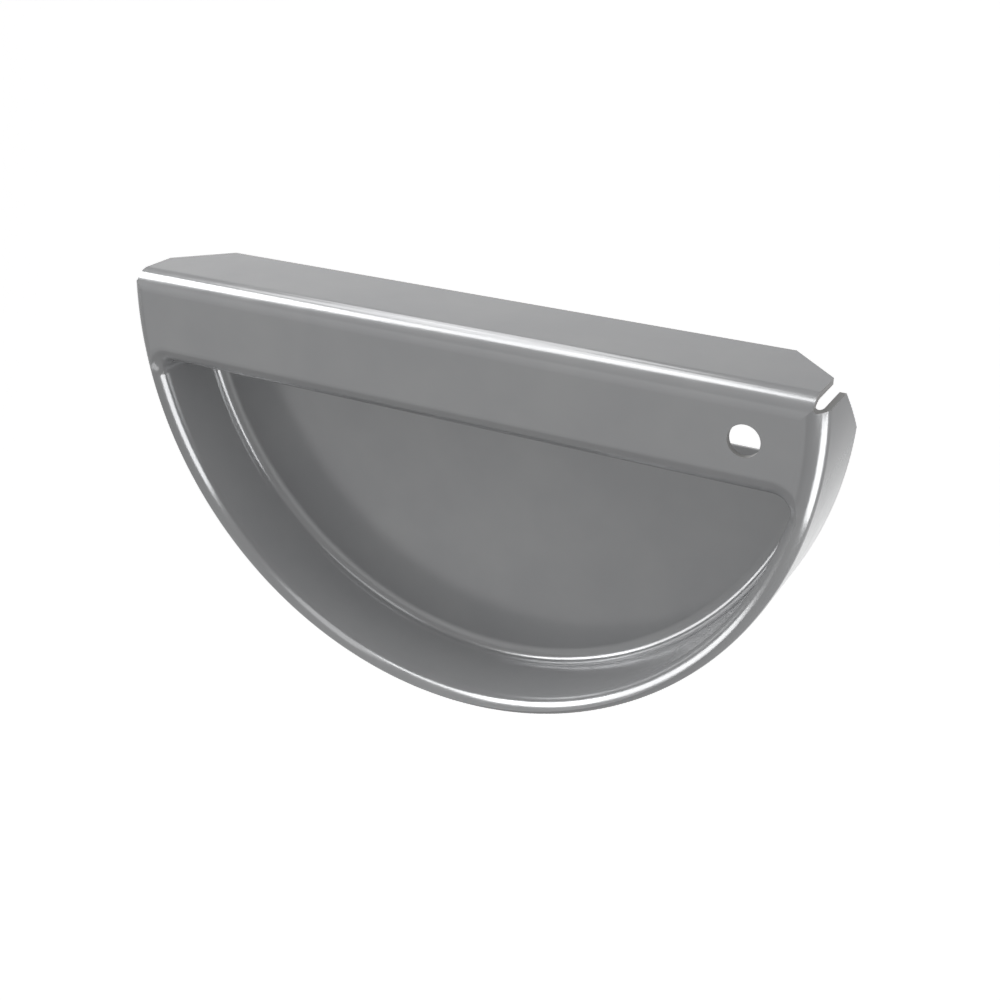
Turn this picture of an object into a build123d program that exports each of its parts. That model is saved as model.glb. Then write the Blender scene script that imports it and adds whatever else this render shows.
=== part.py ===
"""End cap for a half-round roof gutter, pressed and folded from one sheet of steel.

Millimetres. The origin is the centre of the gutter's half circle, on the back face of the
panel. +X runs to the right seen from outside, +Y runs into the gutter and +Z is up.
"""
import os

from build123d import *

# Sheet and bends
sheet = 1.0                      # thickness of the steel
bend_inside = 2.5                # radius on the hollow side of every bend
bend_outside = bend_inside + sheet

# Panel and its flanges
rim_radius = 62.5                # outer face of the curved flange
rim_depth = 17.5                 # panel's front face to the flanges' back edges
top_level = 7.1                  # top flange's upper face, above the half circle's centre
panel_front = -sheet             # the panel's back face is the plane y = 0
rim_back = panel_front + rim_depth

# Recess pressed into the panel, with a groove for the gutter's edge left around it
groove_width = 1.2               # gap between the curved flange and the recess wall
recess_radius = rim_radius - sheet - groove_width - sheet
band_height = 16.4               # top flange's upper face down to the recess's upper wall
recess_level = top_level - band_height
recess_corner = 2.6              # where the upper wall meets the curved wall
floor_inset = 0.3                # how far the recess stops short of the flanges' edges
floor_back = rim_back - floor_inset

# Corner notches that part the top flange from the curved flange
notch_width = 2.0                # from the curved flange's outer face in to the top flange's end
notch_drop = 2.25                # from the top flange's upper face down to the curved flange's end
notch_corner = 0.7
top_flange_half = rim_radius - notch_width
curved_flange_level = top_level - notch_drop

# Slanted back corners of the flanges
top_slant = 8.2
curved_slant_depth = 7.4
curved_slant_height = 7.9

# Fixing hole through the panel, near its right end
hole_radius = 2.5
hole_inset = 11.25               # from the curved flange's outer face
hole_drop = 8.1                  # below the top flange's upper face
hole_x = rim_radius - hole_inset

overrun = 5.0                    # how far a cutting solid passes the sheet


def d_sketch(y, radius, level, corner=0.0):
    """Half-round outline at depth y: an arc about the origin, closed by a level line."""
    end_x = (radius**2 - level**2) ** 0.5
    with BuildSketch(Plane.XZ.offset(-y)) as outline:
        with BuildLine():
            ThreePointArc((-end_x, level), (0, -radius), (end_x, level))
            Line((end_x, level), (-end_x, level))
        make_face()
        if corner:
            fillet(outline.vertices(), corner)
    return outline.sketch


def recess_solid(grown, mouth_y, end_y, mouth_bend, end_bend):
    """The recess as a solid, grown by an offset, from in front of its flared mouth."""
    slab_half = rim_radius + overrun
    with BuildPart() as solid:
        extrude(
            d_sketch(end_y, recess_radius + grown, recess_level + grown, recess_corner + grown),
            amount=end_y - mouth_y,
        )
        fillet(faces().sort_by(Axis.Y)[-1].edges(), end_bend)
        with BuildSketch(Plane.XZ.offset(-mouth_y)):
            Rectangle(2 * slab_half, 2 * slab_half)
        extrude(amount=overrun)
        shoulder = faces().filter_by(Axis.Y).sort_by(Axis.Y)[1]
        fillet(shoulder.inner_wires()[0].edges(), mouth_bend)
    return solid.part


# The space in front of the recess's sheet, and the space its sheet and front enclose
pressed_space = recess_solid(0.0, panel_front, floor_back - sheet, bend_outside, bend_inside)
pressed_sheet = recess_solid(sheet, 0.0, floor_back, bend_inside, bend_outside)

# Everything behind the panel that is open: inside the flanges and around the recess
with BuildPart() as open_back:
    inner_outline = d_sketch(rim_back + overrun, rim_radius - sheet, top_level - sheet)
    extrude(inner_outline, amount=rim_back + overrun)
    fillet(faces().sort_by(Axis.Y)[0].edges(), bend_inside)
    add(pressed_sheet, mode=Mode.SUBTRACT)

with BuildPart() as end_cap:
    # Panel with both flanges bent back, as a solid block
    extrude(d_sketch(rim_back, rim_radius, top_level), amount=rim_depth)
    fillet(faces().sort_by(Axis.Y)[0].edges(), bend_outside)
    add(pressed_space, mode=Mode.SUBTRACT)
    add(open_back.part, mode=Mode.SUBTRACT)

    # Corner notches, cut straight back through both bends
    with BuildSketch(Plane.XZ.offset(-rim_back)) as notches:
        with Locations((top_flange_half, curved_flange_level)):
            Rectangle(notch_width + overrun, notch_drop + overrun, align=(Align.MIN, Align.MIN))
        fillet(notches.vertices().sort_by(Axis.X)[:2].sort_by(Axis.Y)[0], notch_corner)
        mirror(about=Plane.YZ)
    extrude(amount=rim_depth, mode=Mode.SUBTRACT)

    # Slanted back corners of the top flange
    back_edges = edges().filter_by(Axis.Z).group_by(Axis.Y)[-1]
    chamfer(back_edges, top_slant)

    # Slanted back corners of the curved flange, cut from one side to the other
    with BuildSketch(Plane.YZ):
        with BuildLine():
            Polyline(
                (rim_back, curved_flange_level - curved_slant_height),
                (rim_back, curved_flange_level),
                (rim_back - curved_slant_depth, curved_flange_level),
                close=True,
            )
        make_face()
    extrude(amount=rim_radius + overrun, both=True, mode=Mode.SUBTRACT)

    with BuildSketch(Plane.XZ.offset(-panel_front)):
        with Locations((hole_x, top_level - hole_drop)):
            Circle(hole_radius)
    extrude(amount=-sheet, mode=Mode.SUBTRACT)

end_cap.part.label = "end_cap"

os.makedirs("parts", exist_ok=True)
export_step(end_cap.part, "parts/end_cap.step")
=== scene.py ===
# %% [markdown]
# # A pressed end cap for a half-round gutter
# The cap is one piece of galvanised sheet. A press sinks a deep D-shaped recess into it and folds
# its border back all round, so a gutter's edge slips into the groove between the border and the
# recess. This lesson rebuilds that sheet as two smooth skins, gives it a zinc finish, and lights
# it like a product picture.
#
# The first cell loads the measured solid. It is the frame that everything else has to fit.

import bpy
import numpy as np
from mathutils import Matrix, Vector, geometry


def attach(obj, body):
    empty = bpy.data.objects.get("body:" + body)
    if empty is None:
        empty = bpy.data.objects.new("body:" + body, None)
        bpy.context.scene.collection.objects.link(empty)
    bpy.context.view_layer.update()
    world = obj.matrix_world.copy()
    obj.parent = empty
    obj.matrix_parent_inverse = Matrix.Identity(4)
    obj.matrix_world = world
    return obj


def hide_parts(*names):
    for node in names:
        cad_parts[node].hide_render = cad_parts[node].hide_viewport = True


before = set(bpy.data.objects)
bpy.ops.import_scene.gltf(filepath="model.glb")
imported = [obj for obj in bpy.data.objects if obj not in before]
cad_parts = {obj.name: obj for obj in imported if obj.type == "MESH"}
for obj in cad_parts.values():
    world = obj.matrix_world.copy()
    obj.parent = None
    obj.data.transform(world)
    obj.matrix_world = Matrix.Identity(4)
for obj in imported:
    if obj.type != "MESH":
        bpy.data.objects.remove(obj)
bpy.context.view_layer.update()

MM = 0.001                       # the lesson's lengths are written in millimetres

# %% [markdown]
# ## The camera
# The picture was taken close to the cap, from its right and a little above, so the perspective
# is strong. A camera could be turned by hand until it looks right, but its place, turn and lens
# follow from lines whose real lengths are known, so they are simply set: a point to look at, two
# angles, a distance, and the length of the lens. The matrix is built from three directions: right,
# up, and back towards the photographer.

# %% Place the camera
AZIMUTH, ELEVATION, ROLL = np.radians([29.496, 26.136, -0.136])
LOOK_AT = np.array([11.985, -1.0, -19.578])
DISTANCE = 223.61
LENS = 50.826

level_back = np.array([np.sin(AZIMUTH), -np.cos(AZIMUTH), 0.0])
back = np.cos(ELEVATION) * level_back + np.sin(ELEVATION) * np.array([0.0, 0.0, 1.0])
level_right = np.array([np.cos(AZIMUTH), np.sin(AZIMUTH), 0.0])
level_up = np.cross(back, level_right)
right = np.cos(ROLL) * level_right + np.sin(ROLL) * level_up
up = np.cos(ROLL) * level_up - np.sin(ROLL) * level_right

turn = Matrix(np.column_stack([right, up, back]).tolist()).to_4x4()
lens = bpy.data.cameras.new("camera")
lens.lens = LENS
lens.clip_start = 0.005
camera = bpy.data.objects.new("camera", lens)
camera.matrix_world = Matrix.Translation(Vector((LOOK_AT + DISTANCE * back) * MM)) @ turn
bpy.context.scene.collection.objects.link(camera)
bpy.context.scene.camera = camera
print("camera at", [round(v, 4) for v in camera.matrix_world.translation])

# %% [markdown]
# ## The sheet's numbers
# Every bend of the sheet has the same inside radius, and the two faces of the sheet are always one
# thickness apart. So one set of numbers describes both faces: `skin` is 0 for the outer face and 1
# for the inner one, and moves each surface by the sheet's thickness.

# %% Numbers of the sheet
SHEET = 1.0
BEND = 3.5                       # outside radius of every bend
RIM_RADIUS = 62.5
RIM_BACK = 16.5                  # back edges of the flanges
TOP_LEVEL = 7.1
BEND_DEPTH = 2.5                 # depth of the centres of the bends along the panel
BAND_RADIUS = RIM_RADIUS - BEND  # where the rim's bend meets the flat band
BAND_TOP = TOP_LEVEL - BEND      # where the top flange's bend meets it

RECESS_RADIUS = 59.3
RECESS_LEVEL = -9.3
RECESS_CORNER = 2.6
FLOOR_BEND = 2.5
FLOOR_BEND_DEPTH = 12.7

NOTCH_X, NOTCH_Z, NOTCH_CORNER = 60.5, 4.85, 0.7
TOP_SLANT = 8.2
RIM_SLANT_DEPTH, RIM_SLANT_HEIGHT = 7.4, 7.9
HOLE_X, HOLE_Z, HOLE_RADIUS = 51.25, -1.0, 2.5


def spread(start, stop, count):
    """Even steps from start to stop, without the last one, so that ranges can be joined."""
    return np.linspace(start, stop, count, endpoint=False)


# %% [markdown]
# ## The notch's outline
# At each end a small notch parts the top flange from the curved one. It is cut straight back, so
# in front view it is a fixed line: down the top flange's end, round a small corner, and out
# along the curved flange's end. Inside the corner the two bends meet in a mitre, the line where
# both bends are equally deep. The cell finds the spot on the rounded corner where the mitre ends.

# %% Find where the mitre meets the notch
corner_centre = np.array([NOTCH_X + NOTCH_CORNER, NOTCH_Z + NOTCH_CORNER])


def notch_corner_point(angle):
    """Point on the notch's rounded corner: its centre plus its radius along the angle."""
    return corner_centre[:, None] + NOTCH_CORNER * np.array([np.cos(angle), np.sin(angle)])


SEARCH_STEPS = 20001
angles = np.linspace(np.pi, 1.5 * np.pi, SEARCH_STEPS)
x, z = notch_corner_point(angles)
mitre_miss = (np.hypot(x, z) - BAND_RADIUS) - (z - BAND_TOP)
mitre_angle = np.interp(0.0, mitre_miss, angles)
mitre_reach = float(notch_corner_point(np.array([mitre_angle]))[1, 0] - BAND_TOP)
print("mitre ends", round(mitre_reach, 3), "mm outside the flat band")

# %% [markdown]
# ## Patches
# A smooth part is easiest to build from patches: grids of points, each computed at once from two
# parameters, together with the direction that the surface faces at each point. Where patches
# touch they share their points, and the stored directions keep the light smooth across a bend and
# sharp at a crease. `keep` stores a patch, turned so that its faces look the right way.

# %% A place to collect the patches
patches = []                     # points, facing directions, faces and a mark for cut edges


def keep(points, facing, is_cut=False):
    """Stores a grid of points as four-sided faces that look along the facing directions."""
    rows, columns = points.shape[:2]
    index = np.arange(rows * columns).reshape(rows, columns)
    faces = np.stack([index[:-1, :-1], index[1:, :-1], index[1:, 1:], index[:-1, 1:]], axis=-1)
    faces = faces.reshape(-1, 4)
    flat = points.reshape(-1, 3)
    corners = flat[faces]
    normal = np.cross(corners[:, 2] - corners[:, 0], corners[:, 3] - corners[:, 1])
    wanted = facing.reshape(-1, 3)[faces].mean(axis=1)
    if (normal * wanted).sum() < 0:
        faces = faces[:, ::-1]
    patches.append((flat, facing.reshape(-1, 3), faces, is_cut))


# %% [markdown]
# ## The recess's outline and the crest
# In front view the recess is a half circle closed by a level line, with rounded corners. Each
# point of that outline is a centre plus a radius along a direction, so the same outline can be
# grown or shrunk by adding to the radius. Along the half circle the recess's bent lip runs into
# the rim's bend before it reaches the flat band. The crest is the line where the two are equally
# deep; it fades out on the recess's corners. The cell lists the outline's columns clockwise from
# the middle of the level line, and solves for the crest on each of them.

# %% Outline of the recess
corner_z = RECESS_LEVEL - RECESS_CORNER
corner_x = np.sqrt((RECESS_RADIUS - RECESS_CORNER) ** 2 - corner_z**2)
corner_reach = RECESS_CORNER + BEND
corner_distance = RECESS_RADIUS - RECESS_CORNER
arc_start = np.arctan2(corner_z, corner_x)
fade_turn = np.arccos(
    (BAND_RADIUS**2 - corner_distance**2 - corner_reach**2) / (2 * corner_distance * corner_reach)
)
fade = arc_start + fade_turn     # direction on the corner at which the crest fades out

# Columns of the right half: level line, corner above the fade, corner below it, half of the arc
LINE_COLUMNS, ABOVE_COLUMNS, BELOW_COLUMNS, ARC_COLUMNS = 28, 7, 16, 111
line_x = spread(0.0, corner_x, LINE_COLUMNS)
above = spread(np.pi / 2, fade, ABOVE_COLUMNS)
below = spread(fade, arc_start, BELOW_COLUMNS)
arc = np.linspace(arc_start, -np.pi / 2, ARC_COLUMNS)
direction = np.concatenate([np.full(len(line_x), np.pi / 2), above, below, arc])
centre = np.zeros((len(direction), 2))
centre[:LINE_COLUMNS] = np.column_stack([line_x, np.full(LINE_COLUMNS, RECESS_LEVEL)])
centre[LINE_COLUMNS:-ARC_COLUMNS] = corner_x, corner_z
radius = np.zeros(len(direction))
radius[LINE_COLUMNS:-ARC_COLUMNS] = RECESS_CORNER
radius[-ARC_COLUMNS:] = RECESS_RADIUS
first_crest = LINE_COLUMNS + ABOVE_COLUMNS

# The left half mirrors the right one, in reverse order, without the two middle columns
mirror = slice(-2, 0, -1)
centre = np.concatenate([centre, centre[mirror] * [-1, 1]])
direction = np.concatenate([direction, np.pi - direction[mirror]])
radius = np.concatenate([radius, radius[mirror]])
outward = np.column_stack([np.cos(direction), np.sin(direction)])


def recess_outline(grown):
    """Outline grown by a distance: each centre plus its radius and the growth, outwards."""
    return centre + (radius + np.asarray(grown))[:, None] * outward


# Newton's method, along the crest: its reach inside the lip's bend equals that on the rim's bend
NEWTON_STEPS = 8
crossing = slice(first_crest, len(radius) - first_crest + 1)
growth = np.full(len(radius), BEND)
for _ in range(NEWTON_STEPS):
    point = recess_outline(growth)[crossing]
    distance = np.hypot(*point.T)
    excess = distance - BAND_RADIUS - BEND + growth[crossing]
    slope = (point * outward[crossing]).sum(axis=1) / distance + 1
    growth[crossing] -= excess / slope
lip_reach = np.clip(BEND - growth, 0, None)
crest = recess_outline(growth)
print("columns", len(radius), "crest starts at column", first_crest, "reach", round(lip_reach.max(), 3))

# %% [markdown]
# ## The rim
# The rim is the curved flange and the bend that joins it to the panel. Seen along the gutter it
# is a circle, so a point is given by its distance from the centre and its place round the rim.
# Down to the crest's ends the columns are radial. Above them the columns slowly turn into level
# lines, because the notch cuts the flange's end level. The flange's back edge slants there too.

# %% Rows of the bends, from the flange to the flat band
STRAIGHT_ROWS, ROUNDED_ROWS, MITRE_ROWS = 9, 9, 10


def level_rows(reach_start, reach_stop, bend, count, last=False):
    """Angles on a bend whose reaches beyond the flat band run from the first to the second."""
    angles = np.arccos(np.clip([reach_start / bend, reach_stop / bend], 0, 1))
    return np.linspace(*angles, count, endpoint=last)


def rim_rows(bend):
    """Angles on the rim's bend, and the height at which each row meets the notch or the mitre."""
    round_start = np.hypot(NOTCH_X + NOTCH_CORNER, NOTCH_Z) - BAND_RADIUS
    straight = level_rows(bend, round_start, bend, STRAIGHT_ROWS)
    turn = spread(1.5 * np.pi, mitre_angle, ROUNDED_ROWS)
    x, z = notch_corner_point(turn)
    rounded = np.arccos((np.hypot(x, z) - BAND_RADIUS) / bend)
    mitre = level_rows(mitre_reach, 0.0, bend, MITRE_ROWS, last=True)
    ends = [np.full(STRAIGHT_ROWS, NOTCH_Z), z, BAND_TOP + bend * np.cos(mitre)]
    return np.concatenate([straight, rounded, mitre]), np.concatenate(ends)


def rim_back(z):
    """Back edge of the curved flange: level, then slanting forwards towards the notch."""
    slant_start = NOTCH_Z - RIM_SLANT_HEIGHT
    return RIM_BACK - np.clip(z - slant_start, 0, None) * RIM_SLANT_DEPTH / RIM_SLANT_HEIGHT


# %% [markdown]
# ## Flange and bend in one patch
# The flange is flat from back to front and the bend is a quarter circle, and both follow the rim
# round. One function makes their points from a column's place, which is an angle low down and a
# height near the notch. Another gives the direction each point faces, from which the shading of
# the bend comes; it is exact, so a bend needs only a few rows to look round.

# %% Points and directions on the rim
FLANGE_ROWS = 6
crest_angle = np.arctan2(crest[crossing, 1], crest[crossing, 0])
crest_reach = lip_reach[crossing]


def rim_points(distance, angle_or_height, depth, by_height):
    """Points at a distance from the centre, placed by their angle or by their height."""
    if by_height:
        x, z = np.sqrt(distance**2 - angle_or_height**2), angle_or_height
    else:
        x, z = distance * np.cos(angle_or_height), distance * np.sin(angle_or_height)
    return np.stack([x, depth, z], axis=-1)


def rim_facing(points, angle, side):
    """Outwards from the centre on the flange, turning to the front along the bend's angle."""
    radial = points * [1, 0, 1] / np.hypot(points[..., 0], points[..., 2])[..., None]
    return side * (np.cos(angle)[..., None] * radial - np.sin(angle)[..., None] * [0, 1, 0])


def rim_patch(skin, angle, place, flange_edge, by_height):
    """Flange rows, then bend rows: the bend is a quarter circle about a line along the panel."""
    bend, side = BEND - skin, 1 - 2 * skin
    share = spread(0, 1, FLANGE_ROWS)[:, None]
    flange_depth = flange_edge * (1 - share) + BEND_DEPTH * share
    flange_distance = np.full(flange_depth.shape, RIM_RADIUS - skin)
    distance = np.concatenate([flange_distance, BAND_RADIUS + bend * np.cos(angle)])
    depth = np.concatenate([flange_depth, BEND_DEPTH - bend * np.sin(angle)])
    angle = np.concatenate([np.zeros(flange_depth.shape), angle])
    points = rim_points(distance, place, depth, by_height)
    return points, rim_facing(points, angle, side)


# %% [markdown]
# ## Both faces of the rim
# Every face is made twice, for the outer and the inner skin. The long part below the crest's ends
# is one patch. The short part above them is made on the right, and again as its mirror image on
# the left, because the cap is the same on both sides apart from its hole.

# %% Rim of the outer and the inner skin
SLANT_COLUMN, END_COLUMNS = 6, 16   # the column where the slant starts, and their number
rims, rim_ends = [], []
for skin in (0, 1):
    bend = BEND - skin
    rows, row_ends = rim_rows(bend)

    # Below the ends of the crest: each column's bend stops at the crest
    stop = np.arccos(crest_reach / bend)
    angle = stop * (rows / (np.pi / 2))[:, None]
    flange_edge = np.full(angle.shape[1], RIM_BACK)
    place = np.broadcast_to(crest_angle, (FLANGE_ROWS + len(rows), len(crest_angle)))
    points, facing = rim_patch(skin, angle, place, flange_edge, by_height=False)
    keep(points, facing)
    rims.append(points)

    # Above them: from the radial column at the crest's end to the level notch
    distance = np.concatenate([np.full(FLANGE_ROWS, RIM_RADIUS - skin), BAND_RADIUS + bend * np.cos(rows)])
    start = distance * np.sin(crest_angle[0])
    end = np.concatenate([np.full(FLANGE_ROWS, NOTCH_Z), row_ends])
    turn_share = (NOTCH_Z - RIM_SLANT_HEIGHT - start[0]) / (NOTCH_Z - start[0])
    slanting = np.linspace(turn_share, 1, END_COLUMNS - SLANT_COLUMN)
    share = np.concatenate([spread(0, turn_share, SLANT_COLUMN), slanting])
    place = start[:, None] * (1 - share) + end[:, None] * share
    angle = np.broadcast_to(rows[:, None], (len(rows), len(share)))
    points, facing = rim_patch(skin, angle, place, rim_back(place[0]), by_height=True)
    rim_ends.append(points)
    for flip in (1, -1):
        keep(points * [flip, 1, 1], facing * [flip, 1, 1])
print("rim columns", len(crest_angle), "rows", FLANGE_ROWS + len(rows))

# %% [markdown]
# ## The top flange
# The top flange is straight, so its patch is simpler: every row of the profile is a level line
# from one end of the flange to the other. What changes from row to row is how far the line
# reaches: less at the slanted back corners, and less again at the rounded notch and the mitre.

# %% Both faces of the top flange
TOP_COLUMNS = np.linspace(-1, 1, 61)
SLANT_ROWS, FRONT_ROWS, NOTCH_ROWS, CORNER_ROWS = 5, 4, 12, 3
slant_front = RIM_BACK - TOP_SLANT
tops = []
for skin in (0, 1):
    bend, side = BEND - skin, 1 - 2 * skin
    slant_depth = spread(RIM_BACK, slant_front, SLANT_ROWS)
    flange_depth = np.concatenate([slant_depth, spread(slant_front, BEND_DEPTH, FRONT_ROWS)])
    flange_half = NOTCH_X - np.clip(flange_depth - slant_front, 0, None)

    straight = level_rows(bend, corner_centre[1] - BAND_TOP, bend, NOTCH_ROWS)
    turn = spread(np.pi, mitre_angle, CORNER_ROWS)
    x, z = notch_corner_point(turn)
    rounded = np.arccos((z - BAND_TOP) / bend)
    mitre = level_rows(mitre_reach, 0.0, bend, MITRE_ROWS, last=True)
    reach = bend * np.cos(mitre)
    mitre_half = np.sqrt((BAND_RADIUS + reach) ** 2 - (BAND_TOP + reach) ** 2)

    rows = np.concatenate([straight, rounded, mitre])
    half = np.concatenate([flange_half, np.full(NOTCH_ROWS, NOTCH_X), x, mitre_half])
    depth = np.concatenate([flange_depth, BEND_DEPTH - bend * np.sin(rows)])
    level = np.concatenate([np.full(len(flange_depth), TOP_LEVEL - skin), BAND_TOP + bend * np.cos(rows)])
    angle = np.concatenate([np.zeros(len(flange_depth)), rows])
    across = half[:, None] * TOP_COLUMNS
    points = np.stack(np.broadcast_arrays(across, depth[:, None], level[:, None]), axis=-1)
    facing = side * np.stack([np.zeros(len(angle)), -np.sin(angle), np.cos(angle)], axis=-1)
    keep(points, np.broadcast_to(facing[:, None], points.shape))
    tops.append(points)
top_straight_end = SLANT_ROWS + FRONT_ROWS + NOTCH_ROWS + CORNER_ROWS
print("top flange rows", len(half), "columns", len(TOP_COLUMNS))

# %% [markdown]
# ## The recess
# The recess's lip, wall and floor bend are one profile carried round its outline. The lip is a
# bend about a line outside the outline, and stops at the crest where there is one; the wall runs
# straight back; the floor bend turns inwards about a line inside the outline.

# %% Both faces of the recess
LIP_ROWS, WALL_ROWS, CURL_ROWS = 16, 5, 13
recesses = []


def on_every_column(rows):
    """The same rows on each column of the recess's outline."""
    return np.broadcast_to(rows[:, None], (len(rows), len(radius)))


for skin in (0, 1):
    bend, floor_bend, side = BEND - skin, FLOOR_BEND + skin, 1 - 2 * skin
    lip = np.arccos(lip_reach / bend) * (1 - spread(0, 1, LIP_ROWS))[:, None]
    wall = on_every_column(spread(BEND_DEPTH, FLOOR_BEND_DEPTH, WALL_ROWS))
    curl = on_every_column(np.linspace(0, np.pi / 2, CURL_ROWS))

    grown_wall = np.full(wall.shape, float(skin))
    grown = np.concatenate([BEND - bend * np.cos(lip), grown_wall, floor_bend * np.cos(curl) - FLOOR_BEND])
    floor_curl = FLOOR_BEND_DEPTH + floor_bend * np.sin(curl)
    depth = np.concatenate([BEND_DEPTH - bend * np.sin(lip), wall, floor_curl])
    front = np.concatenate([np.sin(lip), np.zeros(wall.shape), np.sin(curl)])
    inward = np.sqrt(1 - front**2)

    flat = centre + (radius + grown)[..., None] * outward
    points = np.stack([flat[..., 0], depth, flat[..., 1]], axis=-1)
    facing = -side * np.stack([inward * outward[:, 0], front, inward * outward[:, 1]], axis=-1)
    points, facing = (np.concatenate([grid, grid[:, :1]], axis=1) for grid in (points, facing))
    keep(points, facing)
    recesses.append(points[:, :-1])
print("recess rows", len(points), "columns", len(radius))

# %% [markdown]
# ## The flat faces
# The band with the fixing hole and the recess's floor are flat, so they need no grid: their
# outlines are already there as the last rows of the patches, and the space between them is
# filled with triangles. The outlines are taken over point by point, which leaves no seam.

# %% The band, the floor and the hole
HOLE_SIDES = 64
hole_turn = spread(0, 2 * np.pi, HOLE_SIDES)
hole_rim = np.stack([np.cos(hole_turn), np.zeros(len(hole_turn)), np.sin(hole_turn)], axis=-1)


def fill(loops, facing):
    """Fills the space between an outer outline and the outlines inside it with triangles."""
    points = np.concatenate(loops)
    flat = [[Vector((p[0], p[2], 0)) for p in loop] for loop in loops]
    faces = np.array(geometry.tessellate_polygon(flat))
    corners = points[faces]
    normal = np.cross(corners[:, 1] - corners[:, 0], corners[:, 2] - corners[:, 0])
    wrong = normal @ facing < 0
    faces[wrong] = faces[wrong][:, ::-1]
    patches.append((points, np.broadcast_to(facing, points.shape), faces, False))


for skin in (0, 1):
    plane, side = skin - SHEET, 1 - 2 * skin
    towards = np.array([0.0, -side, 0.0])
    fill([recesses[skin][-1]], towards)

    right_side = rim_ends[skin][-1, ::-1]
    left_side = right_side[::-1] * [-1, 1, 1]
    lip_edge = recesses[skin][0]
    lip_left = lip_edge[: len(radius) - first_crest : -1]
    under = np.concatenate([lip_edge[first_crest - 1 : 0 : -1], lip_edge[:1], lip_left])
    hole = [HOLE_X, plane, HOLE_Z] + HOLE_RADIUS * hole_rim
    outer = np.concatenate([tops[skin][-1, :-1], right_side, under, left_side[:-1]])
    fill([outer, hole], towards)
print("flat faces", sum(len(patch[2]) for patch in patches[-4:]))

# %% [markdown]
# ## The cut edges
# Where the sheet was cut, a narrow face joins its two sides. Each one is a strip between matching
# rows of the outer and the inner face. They are marked, because a sheared edge looks different:
# the zinc is torn away there and the steel is a little rougher.

# %% Strips that close the sheet's edges
TOLERANCE = 1e-6                 # a point this close to the notch's round corner lies on it


def edge_strip(outer, inner, facing):
    """Strip between two rows of matching points, looking along one direction or one per point."""
    facing = np.broadcast_to(facing, outer.shape)
    keep(np.stack([outer, inner]), np.stack([facing, facing]), is_cut=True)


def towards_notch(points, straight):
    """Facing of a notch's end: the straight cut's, and on the round corner towards its centre."""
    to_centre = ([corner_centre[0], 0, corner_centre[1]] - points) * [1, 0, 1]
    distance = np.linalg.norm(to_centre, axis=1)
    is_round = np.abs(distance - NOTCH_CORNER) < TOLERANCE
    return np.where(is_round[:, None], to_centre / distance[:, None], straight)


edge_strip(rims[0][0], rims[1][0], [0, 1, 0])
edge_strip(tops[0][0], tops[1][0], [0, 1, 0])
slant_normal = np.array([0, RIM_SLANT_HEIGHT, RIM_SLANT_DEPTH])
slant_normal = slant_normal / np.linalg.norm(slant_normal)
level, slanted = slice(0, SLANT_COLUMN + 1), slice(SLANT_COLUMN, None)
rim_notch = slice(0, FLANGE_ROWS + STRAIGHT_ROWS + ROUNDED_ROWS + 1)
top_slanted, top_notch = slice(0, SLANT_ROWS + 1), slice(SLANT_ROWS, top_straight_end + 1)
for flip in ([1, 1, 1], [-1, 1, 1]):
    outer, inner = rim_ends[0] * flip, rim_ends[1] * flip
    edge_strip(outer[0, level], inner[0, level], [0, 1, 0])
    edge_strip(outer[0, slanted], inner[0, slanted], slant_normal)
    facing = towards_notch(rim_ends[0][rim_notch, -1], [0, 0, 1]) * flip
    edge_strip(outer[rim_notch, -1], inner[rim_notch, -1], facing)

    outer, inner = tops[0][:, -1] * flip, tops[1][:, -1] * flip
    edge_strip(outer[top_slanted], inner[top_slanted], np.array([1, 1, 0]) / np.sqrt(2) * flip)
    facing = towards_notch(tops[0][top_notch, -1], [1, 0, 0]) * flip
    edge_strip(outer[top_notch], inner[top_notch], facing)

hole_rim = np.concatenate([hole_rim, hole_rim[:1]])
hole_front = [HOLE_X, -SHEET, HOLE_Z] + HOLE_RADIUS * hole_rim
edge_strip(hole_front, hole_front + [0, SHEET, 0], -hole_rim)
print("patches", len(patches))

# %% [markdown]
# ## One closed mesh
# The patches share points along their borders, so points at the same place are merged into one.
# Each face corner gets the direction that its own patch stored, so the bends shade smoothly and
# the creases stay crisp. A closed sheet has exactly two faces on every edge, which the second cell
# counts.

# %% Merge the patches into the end cap
MERGE_DECIMALS = 4               # points that agree to 0.0001 mm are the same point
points = np.concatenate([patch[0] for patch in patches])
facing = np.concatenate([patch[1] for patch in patches])
_, first, merged = np.unique(
    np.round(points, MERGE_DECIMALS), axis=0, return_index=True, return_inverse=True
)
merged = merged.ravel()
offset = 0
faces, corners, sheared = [], [], []
for patch_points, _, patch_faces, is_cut in patches:
    faces += merged[patch_faces + offset].tolist()
    corners.append(facing[patch_faces.ravel() + offset])
    sheared.append(np.full(len(patch_faces), float(is_cut)))
    offset += len(patch_points)

mesh = bpy.data.meshes.new("end_cap_sheet")
mesh.from_pydata((points[first] * MM).tolist(), [], faces)
mesh.shade_smooth()
mesh.normals_split_custom_set(np.concatenate(corners).tolist())
mark = mesh.attributes.new("sheared", "FLOAT", "FACE")
mark.data.foreach_set("value", np.concatenate(sheared).astype(np.float32))
sheet = bpy.data.objects.new("end_cap_sheet", mesh)
bpy.context.scene.collection.objects.link(sheet)
print("points", len(first), "faces", len(faces))

# %% Check that the sheet is closed
this_corner = np.concatenate(faces)
next_corner = np.concatenate([np.roll(face, -1) for face in faces])
edges = np.sort(np.column_stack([this_corner, next_corner]), axis=1)
uses = np.unique(edges, axis=0, return_counts=True)[1]
print("edges", len(uses), "of which not shared by two faces", int((uses != 2).sum()))

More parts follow.
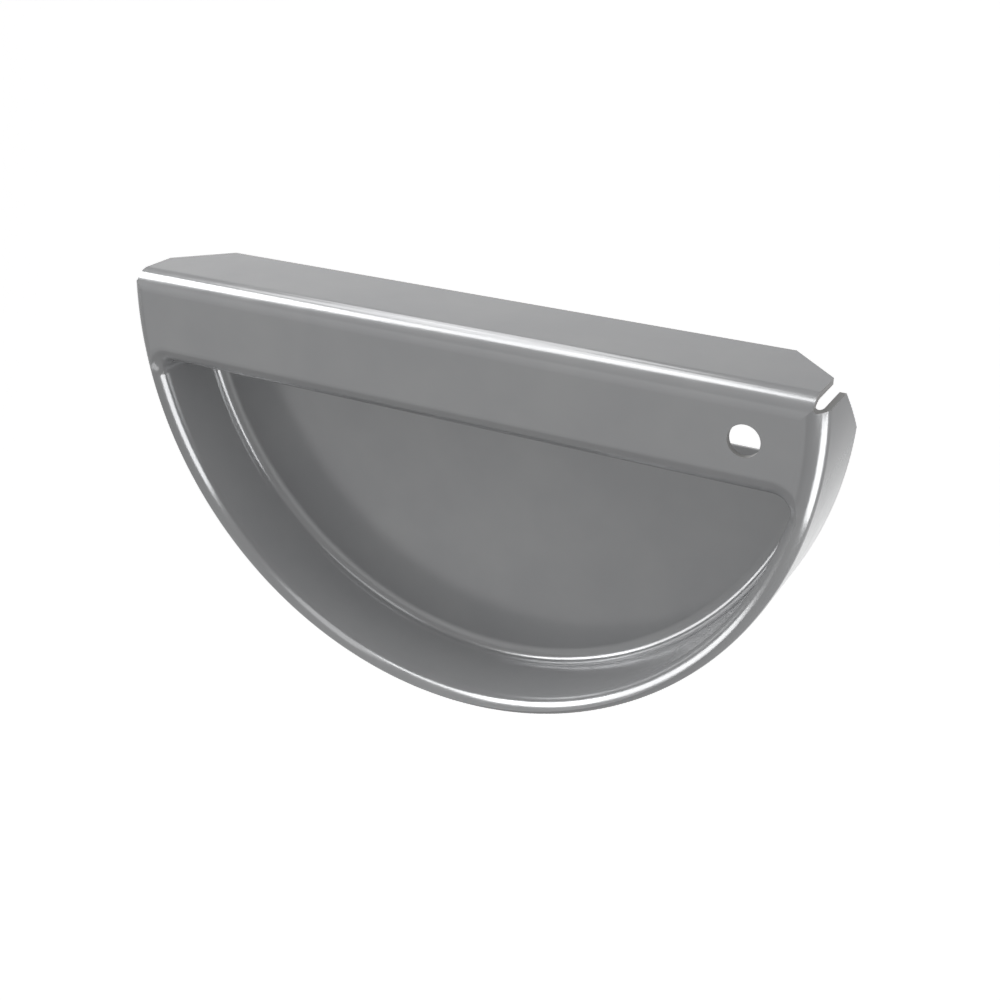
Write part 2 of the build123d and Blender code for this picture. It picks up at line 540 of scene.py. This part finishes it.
# %% [markdown]
# ## The zinc finish
# The real sheet is steel with a smooth zinc coat. It mirrors its surroundings softly, and a thin
# dull bloom on the zinc also scatters light, so the finish is partly metallic and partly matt.
# Zinc crystals leave slightly lighter and darker patches a centimetre or two across, the bloom
# varies over a few millimetres, and rolling leaves a very fine grain. A photo texture would need
# unwrapping; noise in the object's own coordinates has the same scale everywhere and no seams.

# %% Helpers for the finish's nodes
zinc = bpy.data.materials.new("galvanised_sheet")
zinc.use_nodes = True
nodes, links = zinc.node_tree.nodes, zinc.node_tree.links
mesh.materials.append(zinc)


def feed(socket, given):
    """Links another node's output to a socket, or writes a plain value into it."""
    if isinstance(given, bpy.types.NodeSocket):
        links.new(given, socket)
    else:
        socket.default_value = given


def clouds(size, detail, roughness):
    """Noise in the object's own coordinates, its patches about `size` millimetres across."""
    place = nodes.new("ShaderNodeTexCoord")
    noise = nodes.new("ShaderNodeTexNoise")
    noise.inputs["Scale"].default_value = 1 / (size * MM)
    noise.inputs["Detail"].default_value = detail
    noise.inputs["Roughness"].default_value = roughness
    feed(noise.inputs["Vector"], place.outputs["Object"])
    return noise.outputs["Fac"]


NOISE_MIDDLE = (0.3, 0.7)        # nearly all of a noise's values lie in this range


def stretched(value, low, high):
    """The middle of a noise, stretched over the range from low to high."""
    node = nodes.new("ShaderNodeMapRange")
    for socket, given in zip(node.inputs, (value, *NOISE_MIDDLE, low, high)):
        feed(socket, given)
    return node.outputs["Result"]


def blended(kind, share, first, second):
    """Blends two numbers or two colours: share 0 gives the first, share 1 the second."""
    node = nodes.new("ShaderNodeMix")
    node.data_type = kind
    enabled = [socket for socket in node.inputs if socket.enabled]
    for socket, given in zip(enabled, (share, first, second)):
        feed(socket, given)
    return next(socket for socket in node.outputs if socket.enabled)


# %% [markdown]
# ## Colour and gloss of the zinc
# The patches blend two greys, and the bloom moves the roughness a little, which is what makes a
# plain sheet look like metal and not like paint. Cut edges read the mark they were given: the zinc
# is torn off there, so they show darker, warmer and much rougher steel.

# %% Zinc with patches, bloom, grain and bare cut edges
LIGHT_ZINC = (0.525, 0.53, 0.535, 1.0)
DARK_ZINC = (0.49, 0.495, 0.505, 1.0)
BARE_STEEL = (0.44, 0.435, 0.43, 1.0)
CUT_ROUGHNESS = 0.42
METALLIC_SHARE = 0.5
PATCH_SIZE, BLOOM_SIZE, GRAIN_SIZE = 14.0, 5.0, 0.35
BLOOM_ROUGHNESS = (0.15, 0.2)
GRAIN_STRENGTH, GRAIN_HEIGHT = 0.3, 0.02

metal = nodes["Principled BSDF"]
metal.inputs["Metallic"].default_value = METALLIC_SHARE
mark_of_cut = nodes.new("ShaderNodeAttribute")
mark_of_cut.attribute_name = "sheared"
cut = mark_of_cut.outputs["Fac"]

coat_patches = stretched(clouds(PATCH_SIZE, 3.0, 0.55), 0.0, 1.0)
coat = blended("RGBA", coat_patches, DARK_ZINC, LIGHT_ZINC)
feed(metal.inputs["Base Color"], blended("RGBA", cut, coat, BARE_STEEL))
bloom = stretched(clouds(BLOOM_SIZE, 4.0, 0.6), *BLOOM_ROUGHNESS)
feed(metal.inputs["Roughness"], blended("FLOAT", cut, bloom, CUT_ROUGHNESS))

grain = nodes.new("ShaderNodeBump")
grain.inputs["Strength"].default_value = GRAIN_STRENGTH
grain.inputs["Distance"].default_value = GRAIN_HEIGHT * MM
feed(grain.inputs["Height"], clouds(GRAIN_SIZE, 2.0, 0.6))
feed(metal.inputs["Normal"], grain.outputs["Normal"])
print("nodes in the zinc finish", len(nodes))

# %% [markdown]
# ## The paper behind the cap
# Metal has hardly any colour of its own: it shows what stands around it. So the studio is built
# like a real one. A wide sheet of paper lies far below the cap and sweeps up into a wall behind
# it. It is a profile carried sideways: a floor, a quarter circle and a wall, turned to face the
# camera. Seen from above, the run is how far a point lies behind the cap.

# %% Paper sweep
FLOOR_LEVEL = -1200.0
WALL_DISTANCE = 1500.0
SWEEP_RADIUS = 450.0
PAPER_REACH = 4000.0
SWEEP_STEPS = 24

quarter = np.linspace(0, np.pi / 2, SWEEP_STEPS)
run = WALL_DISTANCE + SWEEP_RADIUS * (np.sin(quarter) - 1)
run = np.concatenate([[-PAPER_REACH], run, [WALL_DISTANCE]])
rise = FLOOR_LEVEL + np.concatenate([[0], SWEEP_RADIUS * (1 - np.cos(quarter)), [PAPER_REACH]])
side = np.array([-PAPER_REACH, PAPER_REACH])
away = np.array([-np.sin(AZIMUTH), np.cos(AZIMUTH)])
sideways = np.array([np.cos(AZIMUTH), np.sin(AZIMUTH)])

flat = run[:, None, None] * away + side[:, None] * sideways
paper_points = np.concatenate([flat, np.broadcast_to(rise[:, None, None], (len(run), 2, 1))], axis=-1)
index = np.arange(2 * len(run)).reshape(-1, 2)
paper_faces = np.stack([index[:-1, 0], index[:-1, 1], index[1:, 1], index[1:, 0]], axis=-1)

paper_mesh = bpy.data.meshes.new("paper_sweep")
paper_mesh.from_pydata((paper_points.reshape(-1, 3) * MM).tolist(), [], paper_faces.tolist())
paper_mesh.shade_smooth()
paper = bpy.data.objects.new("paper_sweep", paper_mesh)
bpy.context.scene.collection.objects.link(paper)
print("paper faces", len(paper_faces))

# %% [markdown]
# ## White that fades to grey
# Behind the cap the paper is white and makes the plain background. Towards the camera, to the
# sides and high up it fades to grey, as graduated studio paper does, because a flat panel of metal
# mirrors that part: grey paper keeps the panel grey, so its bright bends stand out. A glow, seen by
# the camera and by reflections alike, brings the white part up to full white and the grey part up
# to the room's grey, so that no horizon shows in the metal.

# %% Graduated paper
GREY_TO_WHITE_RUN = (740.0, 1030.0)
GREY_TO_WHITE_SIDE = (1900.0, 660.0)
GREY_TO_WHITE_LEVEL = (850.0, -50.0)
PAPER_GREY, PAPER_WHITE = 0.32, 0.9
GREY_GLOW, WHITE_GLOW = 0.18, 0.75

graduated = bpy.data.materials.new("graduated_paper")
graduated.use_nodes = True
nodes, links = graduated.node_tree.nodes, graduated.node_tree.links
nodes.clear()


def rising(value, limits):
    """Rises smoothly from 0 at the first limit to 1 at the second, both in millimetres."""
    node = nodes.new("ShaderNodeMapRange")
    node.interpolation_type = "SMOOTHSTEP"
    for socket, given in zip(node.inputs, (value, limits[0] * MM, limits[1] * MM)):
        feed(socket, given)
    return node.outputs["Result"]


def reckoned(operation, first, second=0.0):
    """One sum or comparison of two values."""
    node = nodes.new("ShaderNodeMath")
    node.operation = operation
    for socket, given in zip(node.inputs, (first, second)):
        feed(socket, given)
    return node.outputs[0]


turn = nodes.new("ShaderNodeMapping")
turn.inputs["Rotation"].default_value = (0, 0, -AZIMUTH)
feed(turn.inputs["Vector"], nodes.new("ShaderNodeTexCoord").outputs["Object"])
split = nodes.new("ShaderNodeSeparateXYZ")
feed(split.inputs[0], turn.outputs["Vector"])
behind = rising(split.outputs["Y"], GREY_TO_WHITE_RUN)
between = rising(reckoned("ABSOLUTE", split.outputs["X"]), GREY_TO_WHITE_SIDE)
low = rising(split.outputs["Z"], GREY_TO_WHITE_LEVEL)
whiteness = reckoned("MULTIPLY", reckoned("MULTIPLY", behind, between), low)

ray = nodes.new("ShaderNodeLightPath").outputs
seen = reckoned("MAXIMUM", ray["Is Camera Ray"], ray["Is Glossy Ray"])
seen = reckoned("MAXIMUM", seen, ray["Is Transmission Ray"])
matt = nodes.new("ShaderNodeBsdfDiffuse")
feed(matt.inputs["Color"], blended("FLOAT", whiteness, PAPER_GREY, PAPER_WHITE))
glow = nodes.new("ShaderNodeEmission")
lift = blended("FLOAT", whiteness, GREY_GLOW, WHITE_GLOW)
feed(glow.inputs["Strength"], reckoned("MULTIPLY", seen, lift))
both = nodes.new("ShaderNodeAddShader")
feed(both.inputs[0], matt.outputs[0])
feed(both.inputs[1], glow.outputs[0])
feed(nodes.new("ShaderNodeOutputMaterial").inputs["Surface"], both.outputs[0])
paper_mesh.materials.append(graduated)
print("nodes in the paper", len(nodes))

# %% [markdown]
# ## Room and lamps
# The rest of the room is an even grey. Each softbox was placed by asking which way a bend would
# have to look to mirror it: the tall one on the left and the ones above it draw the bright line
# along the top bend, the low one on the right draws the line down the right bend, and the upper
# one on the right draws the line along the recess's left lip. The soft top light lifts the faces
# that look up, and the large dim card in front gives the flat panel its even grey. The Standard
# view shows colours as written.

# %% Grey room and softboxes
ROOM_GREY = 0.28
LAMP_DISTANCE = 650.0
AIM_LEVEL = -20.0                # height of the point that the lamps look at

scene = bpy.context.scene
scene.view_settings.view_transform = "Standard"
scene.world = bpy.data.worlds.new("grey_room")
scene.world.use_nodes = True
room = scene.world.node_tree.nodes["Background"]
room.inputs["Color"].default_value = (ROOM_GREY, ROOM_GREY, ROOM_GREY, 1)
room.inputs["Strength"].default_value = 1.0


def softbox(name, azimuth, elevation, size, brightness):
    """A rectangular lamp that looks at the cap from an azimuth (0 in front, 90 on the right)
    and an elevation, in degrees. Its power is its brightness times its area times pi, so a
    mirror would show it at that brightness."""
    azimuth, elevation = np.radians(azimuth), np.radians(elevation)
    level = Vector((np.sin(azimuth), -np.cos(azimuth), 0))
    direction = level * np.cos(elevation) + Vector((0, 0, np.sin(elevation)))
    data = bpy.data.lights.new(name, "AREA")
    data.shape = "RECTANGLE"
    data.size, data.size_y = size[0] * MM, size[1] * MM
    data.energy = brightness * np.pi * data.size * data.size_y
    lamp = bpy.data.objects.new(name, data)
    aim = Vector((0, 0, AIM_LEVEL * MM))
    place = Matrix.Translation(aim + direction * LAMP_DISTANCE * MM)
    lamp.matrix_world = place @ direction.to_track_quat("Z", "Y").to_matrix().to_4x4()
    lamp.visible_camera = False
    scene.collection.objects.link(lamp)


softbox("left_softbox", -79, 23, (300, 800), 2.7)
softbox("left_upper_softbox", -77, 34, (300, 300), 2.4)
softbox("overhead_softbox", -80, 62, (200, 450), 2.6)
softbox("top_softbox", -120, 60, (190, 340), 1.8)
softbox("back_softbox", -142, 45, (190, 260), 1.4)
softbox("right_softbox", 76, 11, (330, 530), 2.6)
softbox("right_lower_softbox", 106, -25, (370, 260), 3.1)
softbox("low_front_softbox", 25, -47, (450, 230), 0.8)
softbox("soft_top_light", 20, 75, (350, 350), 0.7)
softbox("front_card", -20, -8, (1000, 860), 0.15)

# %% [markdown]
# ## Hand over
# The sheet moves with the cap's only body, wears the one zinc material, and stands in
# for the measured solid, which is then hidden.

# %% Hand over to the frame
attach(sheet, "root")
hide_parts("end_cap")
